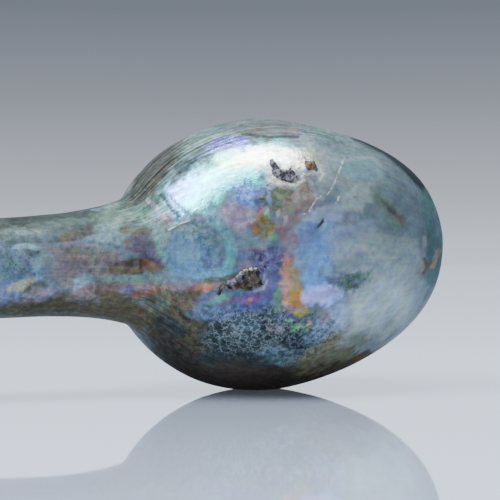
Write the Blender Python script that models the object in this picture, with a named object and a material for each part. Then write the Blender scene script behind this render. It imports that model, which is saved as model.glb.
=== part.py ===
# A blown-glass unguentarium (a small bottle for oil or scent), lying on its side.
#
# The bottle is turned about its own axis, then given the lopsided swell of free-blown glass,
# and laid down so that the bulb and the edge of the rim both touch the ground at z = 0.
# The origin is under the bulb, where it rests. The neck runs towards -X and the base towards +X.

import math

import bmesh
import bpy
from mathutils import Matrix, Vector

MM = 0.001

# The bulb: a blunt base that swells to the widest place, then an ellipse that falls to the neck
BODY_RADIUS = 27.2 * MM
BASE_TO_WIDEST = 37.8 * MM
WIDEST_TO_SHOULDER = 31.5 * MM  # the ellipse's half length, past the place where the neck starts
BASE_FULLNESS = 1.5  # power of the base's outline along the axis, 2 for an ellipse
BASE_BLUNTNESS = 2.85  # power of the base's outline across the axis, 2 for an ellipse
BASE_RISE = 1.25 * MM  # how far the tip of the base sits off the neck's axis

# The neck narrows from its root on the bulb
NECK_RADIUS = 9.2 * MM
NECK_ROOT_RADIUS = 12.7 * MM
NECK_TAPER_LENGTH = 8.4 * MM
NECK_LENGTH = 67.0 * MM  # from the root to the start of the rim's flare
SHOULDER_FILLET = 2.0 * MM

# The rim flares out and ends in a rounded, thickened lip
RIM_RADIUS = 22.4 * MM
RIM_FLARE_LENGTH = 9.0 * MM
RIM_TURN = math.radians(75)  # how far round its quarter of an ellipse the flare goes
LIP_THICKNESS = 3.2 * MM
LIP_SHARE = 0.45  # the share of the flare over which the wall thickens to the lip

# Walls, measured square to the outside
BODY_WALL = 2.0 * MM
NECK_WALL = 1.9 * MM
BASE_WALL = 3.6 * MM

# The ground cuts this much off under the bulb and the lip, which leaves a small flat on each
REST_FLAT_DEPTH = 0.25 * MM

# Facets
SEGMENTS = 36
BASE_STEPS = 12
SHOULDER_STEPS = 11
NECK_STEPS = 11
NECK_STEP_GROWTH = 1.6  # the steps are shorter near the root, where the neck curves
RIM_STEPS = 7
LIP_STEPS = 5
SHARP_ANGLE = math.radians(40)

# Swellings and dips that the blowing left: place along the bulb as a share of its length from the base,
# angle round it from the top, height and reach as shares of the body's radius
LUMPS = {
    "crown swelling": dict(along=0.56, angle=0, height=0.008, reach=0.17),
    "crown dip": dict(along=0.32, angle=0, height=-0.014, reach=0.13),
    "front dimple": dict(along=0.17, angle=-58, height=-0.010, reach=0.17),
    "shoulder swelling": dict(along=0.80, angle=-35, height=0.010, reach=0.20),
    "under swelling": dict(along=0.85, angle=-168, height=0.024, reach=0.24),
    "back swelling": dict(along=0.50, angle=95, height=0.014, reach=0.35),
}

GLASS_COLOUR = (0.30, 0.42, 0.43, 1.0)
GLASS_ROUGHNESS = 0.32
GLASS_METALLIC = 0.25

# The root of the neck is where the ellipse has come down to the root's radius
ROOT_SHARE = math.sqrt(1 - (NECK_ROOT_RADIUS / BODY_RADIUS) ** 2)
BODY_LENGTH = BASE_TO_WIDEST + WIDEST_TO_SHOULDER * ROOT_SHARE
FLARE_START = BODY_LENGTH + NECK_LENGTH
LIP_MIDDLE_RADIUS = RIM_RADIUS - LIP_THICKNESS / 2


def smooth_max(a, b, blend):
    """The larger of two radii, rounded over where they cross."""
    near = max(blend - abs(a - b), 0) / blend
    return max(a, b) + near * near * blend / 4


def smooth_step(share):
    share = min(max(share, 0), 1)
    return share * share * (3 - 2 * share)


def outer_radius(along):
    """The outside's radius from the widest place to the rim, with the neck rounded into the bulb."""
    share = (along - BASE_TO_WIDEST) / WIDEST_TO_SHOULDER
    bulb = BODY_RADIUS * math.sqrt(max(1 - share * share, 0))
    taper = math.exp(-max(along - BODY_LENGTH, 0) / NECK_TAPER_LENGTH)
    neck = NECK_RADIUS + (NECK_ROOT_RADIUS - NECK_RADIUS) * taper
    return smooth_max(bulb, neck, SHOULDER_FILLET)


def base_outline():
    """Points (along, radius) from the tip of the base to just short of the widest place."""
    points = []
    for step in range(BASE_STEPS):
        turn = math.pi / 2 * step / BASE_STEPS
        along = BASE_TO_WIDEST * (1 - math.cos(turn) ** (2 / BASE_FULLNESS))
        points.append((along, BODY_RADIUS * math.sin(turn) ** (2 / BASE_BLUNTNESS)))
    return points


def shoulder_outline():
    """Points from the widest place down the ellipse to just short of the neck's root."""
    points = []
    for step in range(SHOULDER_STEPS):
        turn = math.asin(ROOT_SHARE) * step / SHOULDER_STEPS
        along = BASE_TO_WIDEST + WIDEST_TO_SHOULDER * math.sin(turn)
        points.append((along, outer_radius(along)))
    return points


def neck_outline():
    """Points along the neck, closer together near its root."""
    points = []
    for step in range(NECK_STEPS):
        along = BODY_LENGTH + NECK_LENGTH * (step / NECK_STEPS) ** NECK_STEP_GROWTH
        points.append((along, outer_radius(along)))
    return points


def rim_outline():
    """Points up the back of the flared rim, to where the lip's rounding begins."""
    start_radius = outer_radius(FLARE_START)
    height = (LIP_MIDDLE_RADIUS - start_radius) / (1 - math.cos(RIM_TURN))
    points = []
    for step in range(RIM_STEPS + 1):
        turn = RIM_TURN * step / RIM_STEPS
        along = FLARE_START + RIM_FLARE_LENGTH * math.sin(turn)
        points.append((along, start_radius + height * (1 - math.cos(turn))))
    return points


def wall_at(along, radius):
    """The wall's thickness under a point of the outside."""
    if along < BASE_TO_WIDEST:
        return BODY_WALL + (BASE_WALL - BODY_WALL) * (1 - along / BASE_TO_WIDEST) ** 2
    if along < FLARE_START:
        share = smooth_step((along - BASE_TO_WIDEST) / (BODY_LENGTH - BASE_TO_WIDEST))
        return BODY_WALL + (NECK_WALL - BODY_WALL) * share
    flare = (radius - NECK_RADIUS) / (LIP_MIDDLE_RADIUS - NECK_RADIUS)
    return NECK_WALL + (LIP_THICKNESS - NECK_WALL) * smooth_step((flare - 1 + LIP_SHARE) / LIP_SHARE)


def outward(points, index):
    """The unit normal of the outline at a point, away from the glass."""
    if index == 0:
        return Vector((-1, 0))
    before = Vector(points[index - 1])
    after = Vector(points[min(index + 1, len(points) - 1)])
    run = (after - before).normalized()
    return Vector((-run.y, run.x))


def lip_outline(edge, mouth):
    """The half round that joins the outside's last point to the inside's, bulging away from the wall."""
    middle = (edge + mouth) / 2
    half = (edge - mouth) / 2
    bulge = Vector((half.y, -half.x))
    if bulge.y < 0:
        bulge.negate()
    turns = [math.pi * step / LIP_STEPS for step in range(1, LIP_STEPS)]
    return [tuple(middle + half * math.cos(turn) + bulge * math.sin(turn)) for turn in turns]


def bottle_outline():
    """The outside from base to rim, and the whole section: outside, lip, and back down the inside."""
    outside = base_outline() + shoulder_outline() + neck_outline() + rim_outline()
    inside = []
    for index, (along, radius) in enumerate(outside):
        inner = Vector((along, radius)) - outward(outside, index) * wall_at(along, radius)
        inside.append((inner.x, max(inner.y, 0)))
    lip = lip_outline(Vector(outside[-1]), Vector(inside[-1]))
    return outside, outside + lip + inside[::-1]


def reach_down(points, tilt):
    """How far the points reach below the axis's widest place, once the axis is tilted."""
    return max((a - BASE_TO_WIDEST) * math.sin(tilt) + r * math.cos(tilt) for a, r in points)


def resting_tilt(outside, section):
    """The tilt at which the bulb and the lip reach equally far down, and how far that is."""
    bulb = [point for point in outside if point[0] <= BODY_LENGTH]
    rim = [point for point in section if point[0] > FLARE_START]
    low, high = math.radians(-40), math.radians(40)
    for _ in range(60):
        tilt = (low + high) / 2
        if reach_down(rim, tilt) < reach_down(bulb, tilt):
            low = tilt
        else:
            high = tilt
    return low, reach_down(bulb, low)


def lump_height(along, angle):
    """How far the outside swells or dips at a place, as a share of the body's radius."""
    total = 0
    for lump in LUMPS.values():
        round_way = math.remainder(angle - math.radians(lump["angle"]), math.tau)
        lengthwise = along / BODY_RADIUS - lump["along"] * BODY_LENGTH / BODY_RADIUS
        away = math.hypot(lengthwise, round_way) / lump["reach"]
        total += lump["height"] * math.exp(-away * away / 2)
    return total


def turned(section):
    """The section spun round the X axis, with the widest place at x = 0 and the base at +X."""
    mesh = bmesh.new()
    points = [mesh.verts.new((BASE_TO_WIDEST - along, 0, radius)) for along, radius in section]
    edges = [mesh.edges.new(pair) for pair in zip(points, points[1:])]
    bmesh.ops.spin(
        mesh,
        geom=points + edges,
        cent=(0, 0, 0),
        axis=(1, 0, 0),
        dvec=(0, 0, 0),
        angle=math.tau,
        steps=SEGMENTS,
        use_merge=True,
        use_duplicate=False,
    )
    bmesh.ops.remove_doubles(mesh, verts=mesh.verts, dist=0.002 * MM)
    bmesh.ops.recalc_face_normals(mesh, faces=mesh.faces)
    return mesh


def blow(mesh):
    """Adds the lumps to both faces of the wall, and lifts the tip of the base off the axis."""
    for vert in mesh.verts:
        along = BASE_TO_WIDEST - vert.co.x
        lump = lump_height(along, math.atan2(vert.co.y, vert.co.z))
        vert.co.y *= 1 + lump
        vert.co.z *= 1 + lump
        vert.co.z += BASE_RISE * max(1 - along / BASE_TO_WIDEST, 0) ** 2


def lay_down(mesh, tilt, height):
    """Tilts the neck down, sets the bottle on the ground and cuts its small flats there."""
    bmesh.ops.rotate(mesh, verts=mesh.verts, cent=(0, 0, 0), matrix=Matrix.Rotation(-tilt, 3, "Y"))
    bmesh.ops.translate(mesh, verts=mesh.verts, vec=(0, 0, height - REST_FLAT_DEPTH))
    cut = bmesh.ops.bisect_plane(
        mesh,
        geom=mesh.verts[:] + mesh.edges[:] + mesh.faces[:],
        dist=0.001 * MM,
        plane_co=(0, 0, 0),
        plane_no=(0, 0, -1),
        clear_outer=True,
    )
    cut_edges = [item for item in cut["geom_cut"] if isinstance(item, bmesh.types.BMEdge)]
    filled = bmesh.ops.holes_fill(mesh, edges=cut_edges, sides=0)
    bmesh.ops.recalc_face_normals(mesh, faces=mesh.faces)
    return filled["faces"]


def put_origin_under_bulb(mesh, flats):
    """Moves the bottle along X so that the middle of the bulb's flat is at the origin."""
    middle = max(flat.calc_center_bounds().x for flat in flats)
    bmesh.ops.translate(mesh, verts=mesh.verts, vec=(-middle, 0, 0))


def weathered_glass():
    material = bpy.data.materials.new("weathered_glass")
    material.use_nodes = True
    shader = material.node_tree.nodes["Principled BSDF"]
    shader.inputs["Base Color"].default_value = GLASS_COLOUR
    shader.inputs["Roughness"].default_value = GLASS_ROUGHNESS
    shader.inputs["Metallic"].default_value = GLASS_METALLIC
    return material


def glass_vessel():
    """The whole bottle: one blown piece, hollow and open at the mouth."""
    outside, section = bottle_outline()
    tilt, height = resting_tilt(outside, section)
    mesh = turned(section)
    blow(mesh)
    flats = lay_down(mesh, tilt, height)
    put_origin_under_bulb(mesh, flats)
    data = bpy.data.meshes.new("glass_vessel")
    mesh.to_mesh(data)
    mesh.free()
    data.shade_smooth()
    data.set_sharp_from_angle(angle=SHARP_ANGLE)
    data.materials.append(weathered_glass())
    vessel = bpy.data.objects.new("glass_vessel", data)
    bpy.context.scene.collection.objects.link(vessel)
    return vessel


for old in list(bpy.data.objects):
    bpy.data.objects.remove(old)

glass_vessel()
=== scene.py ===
import math

import bmesh
import bpy
import numpy
from mathutils import Matrix, Vector, noise
from mathutils.bvhtree import BVHTree


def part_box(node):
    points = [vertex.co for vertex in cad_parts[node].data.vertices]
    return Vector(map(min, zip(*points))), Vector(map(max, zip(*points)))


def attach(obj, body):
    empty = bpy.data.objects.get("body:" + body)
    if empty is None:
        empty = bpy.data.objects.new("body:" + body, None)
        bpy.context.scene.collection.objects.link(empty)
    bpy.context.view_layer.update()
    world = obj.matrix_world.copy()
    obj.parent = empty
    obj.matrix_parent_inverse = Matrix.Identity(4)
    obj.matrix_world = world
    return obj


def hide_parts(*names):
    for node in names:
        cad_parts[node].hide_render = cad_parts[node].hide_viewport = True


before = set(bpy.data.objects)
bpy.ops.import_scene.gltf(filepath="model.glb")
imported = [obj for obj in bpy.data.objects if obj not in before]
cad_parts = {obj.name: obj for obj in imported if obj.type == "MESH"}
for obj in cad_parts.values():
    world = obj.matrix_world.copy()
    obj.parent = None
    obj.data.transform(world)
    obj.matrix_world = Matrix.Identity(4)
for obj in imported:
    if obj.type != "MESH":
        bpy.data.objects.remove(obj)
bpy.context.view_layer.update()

mm = 0.001
print("frame loaded")


def linear(colour):  # an sRGB hex value as the linear numbers that Blender's sockets and attributes take
    parts = [int(colour[at:at + 2], 16) / 255 for at in (1, 3, 5)]
    return [part / 12.92 if part <= 0.04045 else ((part + 0.055) / 1.055) ** 2.4 for part in parts]


def smoothShare(value, low=0.0, high=1.0):  # rises smoothly from 0 at low to 1 at high
    share = numpy.clip((value - low) / (high - low), 0, 1)
    return share * share * (3 - 2 * share)


# The studio, in metres: a glossy pale floor, a light grey surround, one large softbox up on the left and a
# soft fill
studio = dict(
    eye=(-0.12381, -0.27205, 0.02565), look=(0.40986, 0.91212, 0.00758), lens=106.78, sensorWidth=36,
    nearest=0.01, furthest=200,
    floorSize=60, floorColour="#bcc8dc", floorRoughness=0.03, floorCoat=0.85, floorGlowColour="#c2cad8",
    floorGlow=0.15,
    aim=(0, 0, 0.025),  # what the lights point at, about the middle of the bulb
    # Each light's origin is an angle round from behind the bottle and one above the floor, in degrees
    softbox=dict(origin=(-90, 70), away=0.75, size=(0.42, 1.25), power=28, colour="#f4f8ff"),
    fill=dict(origin=(172, 12), away=1.6, size=(2.4, 1.4), power=7.2, colour="#fdf8f6"),
    backdrop=(  # a linear colour at each sine of the height above the horizon, as in the next two
        (-0.06, (1.15, 1.22, 1.36)), (0.0, (0.80, 0.86, 0.96)), (0.041, (0.54, 0.59, 0.67)),
        (0.108, (0.305, 0.33, 0.39)), (0.168, (0.188, 0.212, 0.262)),
    ),
    room=(
        (0.0, (0.30, 0.33, 0.37)), (0.3, (0.25, 0.28, 0.32)), (0.6, (0.18, 0.20, 0.23)),
    ),
    glow=(  # the lit wall behind the bottle, which the floor mirrors
        (-0.02, (0.40, 0.43, 0.49)), (0.06, (0.80, 0.92, 1.12)), (0.16, (0.84, 0.97, 1.18)), (0.3, (0, 0, 0)),
    ),
    glowHalfWidth=(12, 30),  # degrees to each side of the view where it starts to fade and ends
)

# The bottle in millimetres, its outline and lumps as the solid's, but spun far finer
bottle = dict(
    bodyRadius=27.2, baseToWidest=37.8, widestToShoulder=31.5,
    baseFullness=1.5, baseBluntness=2.85, baseRise=1.25,
    neckRadius=9.2, neckRootRadius=12.7, neckTaper=8.4, neckLength=67.0, shoulderFillet=2.0,
    rimRadius=22.4, flareLength=9.0, rimTurn=75, lipThickness=3.2, lipShare=0.45,
    bodyWall=2.0, neckWall=1.9, baseWall=3.6,
    tilt=2.8164, flatDepth=0.25,
    steps=280,  # round the axis
    frontCrowding=0.35,  # how much closer together they stand on the front than on average
    bulbSpacing=0.42, shoulderSpacing=0.55, neckSpacing=1.5,  # between rings
    fineNeck=31,  # how far past the bulb the shoulder's spacing goes on
    curveSamples=4000, rimSteps=16, lipSteps=9, mergeDistance=0.002,
    insideSkip=9, rimSkip=2,  # the inside takes every so many rings of the outside, and of the rim
)
bottle["rootShare"] = math.sqrt(1 - (bottle["neckRootRadius"] / bottle["bodyRadius"]) ** 2)
bottle["bodyLength"] = bottle["baseToWidest"] + bottle["widestToShoulder"] * bottle["rootShare"]
bottle["flareStart"] = bottle["bodyLength"] + bottle["neckLength"]
bottle["lipMiddle"] = bottle["rimRadius"] - bottle["lipThickness"] / 2

# Swellings and dips of free blowing: place along the bulb as a share of its length, angle round it from
# the top towards the back, height and reach as shares of the body's radius
lumps = dict(
    crownSwelling=dict(along=0.56, angle=0, height=0.008, reach=0.17),
    crownDip=dict(along=0.32, angle=0, height=-0.014, reach=0.13),
    frontDimple=dict(along=0.17, angle=-58, height=-0.010, reach=0.17),
    shoulderSwelling=dict(along=0.80, angle=-35, height=0.010, reach=0.20),
    underSwelling=dict(along=0.85, angle=-168, height=0.024, reach=0.24),
    backSwelling=dict(along=0.50, angle=95, height=0.014, reach=0.35),
)


def outerRadius(along):  # the outside from the widest place to the rim
    share = (along - bottle["baseToWidest"]) / bottle["widestToShoulder"]
    bulb = bottle["bodyRadius"] * math.sqrt(max(1 - share * share, 0))
    taper = math.exp(-max(along - bottle["bodyLength"], 0) / bottle["neckTaper"])
    neck = bottle["neckRadius"] + (bottle["neckRootRadius"] - bottle["neckRadius"]) * taper
    near = max(bottle["shoulderFillet"] - abs(bulb - neck), 0) / bottle["shoulderFillet"]
    return max(bulb, neck) + near * near * bottle["shoulderFillet"] / 4


def wallAt(along, radius):
    if along < bottle["baseToWidest"]:
        share = (1 - along / bottle["baseToWidest"]) ** 2
        return bottle["bodyWall"] + (bottle["baseWall"] - bottle["bodyWall"]) * share
    if along < bottle["flareStart"]:
        share = smoothShare(along, bottle["baseToWidest"], bottle["bodyLength"])
        return bottle["bodyWall"] + (bottle["neckWall"] - bottle["bodyWall"]) * share
    flare = (radius - bottle["neckRadius"]) / (bottle["lipMiddle"] - bottle["neckRadius"])
    share = smoothShare(flare, 1 - bottle["lipShare"], 1)
    return bottle["neckWall"] + (bottle["lipThickness"] - bottle["neckWall"]) * share


def basePoint(turn):
    along = bottle["baseToWidest"] * (1 - math.cos(turn) ** (2 / bottle["baseFullness"]))
    return along, bottle["bodyRadius"] * math.sin(turn) ** (2 / bottle["baseBluntness"])


def evenly(curve, start, end, spacing):  # points of a curve about one spacing apart, without its end
    samples = bottle["curveSamples"]
    dense = [curve(start + (end - start) * step / samples) for step in range(samples + 1)]
    lengths = [0]
    for before, after in zip(dense, dense[1:]):
        lengths.append(lengths[-1] + math.dist(before, after))
    count = max(round(lengths[-1] / spacing), 2)
    wanted = [lengths[-1] * step / count for step in range(count)]
    return [dense[int(numpy.searchsorted(lengths, length))] for length in wanted]


def rimPoint(turn):
    start = outerRadius(bottle["flareStart"])
    height = (bottle["lipMiddle"] - start) / (1 - math.cos(math.radians(bottle["rimTurn"])))
    along = bottle["flareStart"] + bottle["flareLength"] * math.sin(turn)
    return along, start + height * (1 - math.cos(turn))


def outsideOutline():
    straight = lambda along: (along, outerRadius(along))
    fineEnd = bottle["bodyLength"] + bottle["fineNeck"]
    points = evenly(basePoint, 0, math.pi / 2, bottle["bulbSpacing"])
    points += evenly(straight, bottle["baseToWidest"], bottle["bodyLength"], bottle["bulbSpacing"])
    points += evenly(straight, bottle["bodyLength"], fineEnd, bottle["shoulderSpacing"])
    points += evenly(straight, fineEnd, bottle["flareStart"], bottle["neckSpacing"])
    rimTurn = math.radians(bottle["rimTurn"])
    return points + [rimPoint(rimTurn * step / bottle["rimSteps"]) for step in range(bottle["rimSteps"] + 1)]


def insideOutline(outside):  # the outside moved in by the wall, with fewer points
    inside = []
    rim = len(outside) - bottle["rimSteps"] - 1
    for index in [*range(0, rim - 1, bottle["insideSkip"]), *range(rim, len(outside), bottle["rimSkip"])]:
        before = Vector(outside[max(index - 1, 0)])
        after = Vector(outside[min(index + 1, len(outside) - 1)])
        run = (after - before).normalized() if index else Vector((0, 1))
        along, radius = outside[index]
        wall = wallAt(along, radius)
        inside.append((along + run.y * wall, max(radius - run.x * wall, 0)))
    return inside


def lipOutline(edge, mouth):  # the half round over the rim's edge
    middle = (edge + mouth) / 2
    half = (edge - mouth) / 2
    bulge = Vector((half.y, -half.x))
    if bulge.y < 0:
        bulge.negate()
    turns = [math.pi * step / bottle["lipSteps"] for step in range(1, bottle["lipSteps"])]
    return [tuple(middle + half * math.cos(turn) + bulge * math.sin(turn)) for turn in turns]


def spunBottle():
    outside = outsideOutline()
    inside = insideOutline(outside)
    section = outside + lipOutline(Vector(outside[-1]), Vector(inside[-1])) + inside[::-1]
    mesh = bmesh.new()
    outerSkin = mesh.verts.layers.float.new("outerSkin")
    points = [mesh.verts.new((bottle["baseToWidest"] - along, -radius, 0)) for along, radius in section]
    for point in points[:len(outside) + bottle["lipSteps"] // 2]:
        point[outerSkin] = 1.0
    edges = [mesh.edges.new(pair) for pair in zip(points, points[1:])]
    bmesh.ops.spin(
        mesh, geom=points + edges, cent=(0, 0, 0), axis=(1, 0, 0), dvec=(0, 0, 0),
        angle=math.tau, steps=bottle["steps"], use_merge=True, use_duplicate=False,
    )
    bmesh.ops.remove_doubles(mesh, verts=mesh.verts, dist=bottle["mergeDistance"])
    bmesh.ops.recalc_face_normals(mesh, faces=mesh.faces)
    print("bottle spun:", len(outside), "rings outside,", len(mesh.faces), "faces")
    return mesh


def lumpHeight(along, angle):
    total = 0
    for lump in lumps.values():
        roundWay = math.remainder(angle - math.radians(lump["angle"]), math.tau)
        lengthwise = (along - lump["along"] * bottle["bodyLength"]) / bottle["bodyRadius"]
        away = math.hypot(lengthwise, roundWay) / lump["reach"]
        total += lump["height"] * math.exp(-away * away / 2)
    return total


def shapeBottle(mesh):  # gives the spun bottle its lumps and lays it down as the solid lies
    for vert in mesh.verts:
        front = math.atan2(vert.co.z, -vert.co.y)  # 0 at the front
        crowded = front - bottle["frontCrowding"] * math.sin(front)
        radius = math.hypot(vert.co.y, vert.co.z)
        along = bottle["baseToWidest"] - vert.co.x
        lump = lumpHeight(along, -math.pi / 2 + crowded)
        vert.co.y = -radius * math.cos(crowded) * (1 + lump)
        vert.co.z = radius * math.sin(crowded) * (1 + lump)
        vert.co.z += bottle["baseRise"] * max(1 - along / bottle["baseToWidest"], 0) ** 2
    turn = Matrix.Rotation(-math.radians(bottle["tilt"]), 3, "Y")
    bmesh.ops.rotate(mesh, verts=mesh.verts, cent=(0, 0, 0), matrix=turn)
    low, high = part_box("glass_vessel")
    lowest = min(vert.co.z for vert in mesh.verts)
    furthest = max(vert.co.x for vert in mesh.verts)
    shift = (high[0] / mm - furthest, 0, -bottle["flatDepth"] - lowest)
    bmesh.ops.translate(mesh, verts=mesh.verts, vec=shift)
    for vert in mesh.verts:
        for axis in range(3):
            vert.co[axis] = min(max(vert.co[axis], low[axis] / mm), high[axis] / mm)


def addNode(tree, kind, inputs=None, **settings):  # an input is a value or another node's output
    node = tree.nodes.new(kind)
    for name, value in settings.items():
        setattr(node, name, value)
    for name, value in (inputs or {}).items():
        if isinstance(value, bpy.types.NodeSocket):
            tree.links.new(value, node.inputs[name])
        else:
            node.inputs[name].default_value = value
    return node


def newMaterial(name):
    material = bpy.data.materials.new(name)
    material.use_nodes = True
    material.node_tree.nodes.clear()
    return material, material.node_tree


def newMesh(name, mesh, material):  # a mesh worked out in millimetres, given back in metres
    for vert in mesh.verts:
        vert.co *= mm
    data = bpy.data.meshes.new(name)
    mesh.to_mesh(data)
    mesh.free()
    data.shade_smooth()
    data.materials.append(material)
    return data


def newObject(name, data):
    item = bpy.data.objects.new(name, data)
    bpy.context.scene.collection.objects.link(item)
    return item


# The film's colours on the side that faces the photograph, mostly as the weathering left them. The pearl tints
# also paint the softbox's highlight into the film; the highlight's are strong, because so bright a light washes
# them out
tints = dict(
    pearl="#4ff2f4", pearlWarm="#eff4e1", pearlBlue="#60c0ff", pearlCyan="#4cdcf2", pearlViolet="#9c9cfa",
    pearlYellow="#ecf4a0", pearlGreen="#86dcae", milk="#63737b", milkLow="#a0afad", milkTop="#6f8283",
    frost="#818c8d", cream="#c5c3b3", sky="#6f94c5", skyPale="#5c8bbb", skyDeep="#5a8fd1", lavender="#99a7f9",
    lavenderDeep="#6e6f9c", pool="#5e85a3", aqua="#6295a2", aquaGrey="#627c7c", aquaGreen="#617a6f",
    seaGreen="#609082", tealGrey="#536a6e", teal="#2d3433", tealDark="#2e3a3e", slate="#607680",
    slateBlue="#576685", greyBlue="#8ea2bd", blueGrey="#5c6b79", indigo="#534c73", blueViolet="#86aaff",
    violet="#484d70", violetSoft="#65627e", violetGrey="#756e6c", purpleDark="#4f4b59", lilac="#a194ae",
    mauve="#7c7077", mauveDark="#5c5563", rose="#826f6c", magenta="#724771", red="#824b54", rust="#81583c",
    orange="#a47d3b", peach="#ba8568", gold="#8b815d", straw="#918f70", oliveYellow="#6b653a", green="#5d9160",
    lime="#8a8d44", leaf="#629868", moss="#544f3c", greyGreen="#5d706a", seaGrey="#566c60", olive="#575f4f",
    oliveDark="#474128", umber="#5f5344", brownGrey="#44443e", tan="#a18e6d", blueBlack="#2a343f",
    soot="#302c2a", bottle="#3b362e", peat="#433b35", aquaPale="#7c9faa", milkGreen="#8b9d96",
    glassGreen="#706f57", neckGreen="#2e3835", swirl="#2d5b51", shadedEdgeTeal="#446060", capGrey="#575d5c",
    shadowLine="#1a2327", roseBrown="#74645f", neckGrey="#3e4a47", backGrey="#474a45",
)
shiny = dict(  # how metallic the film is where a tint lies, if it isn't the usual share
    pearl=0.95, pearlWarm=0.95, pearlBlue=0.95, pearlCyan=0.95, pearlViolet=0.95, pearlYellow=0.95,
    pearlGreen=0.9, blueViolet=0.8, indigo=0.6, violet=0.6, sky=0.6, skyPale=0.6, skyDeep=0.6, lavender=0.65,
    pool=0.55, aqua=0.55, lilac=0.6, gold=0.5, orange=0.5, umber=0.12, peat=0.1, soot=0.05, bottle=0.1,
    moss=0.12, oliveDark=0.12, glassGreen=0.1, greyGreen=0.2, aquaGrey=0.25, seaGrey=0.25, brownGrey=0.15,
    milk=0.4, milkLow=0.4, milkTop=0.35, neckGreen=0.08, swirl=0.3, shadedEdgeTeal=0.15, capGrey=0.25, shadowLine=0.1,
    tealDark=0.12, frost=0.35, rose=0.25, rust=0.2, violetGrey=0.25, purpleDark=0.2, mauveDark=0.25,
    blueGrey=0.3,
)

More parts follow.
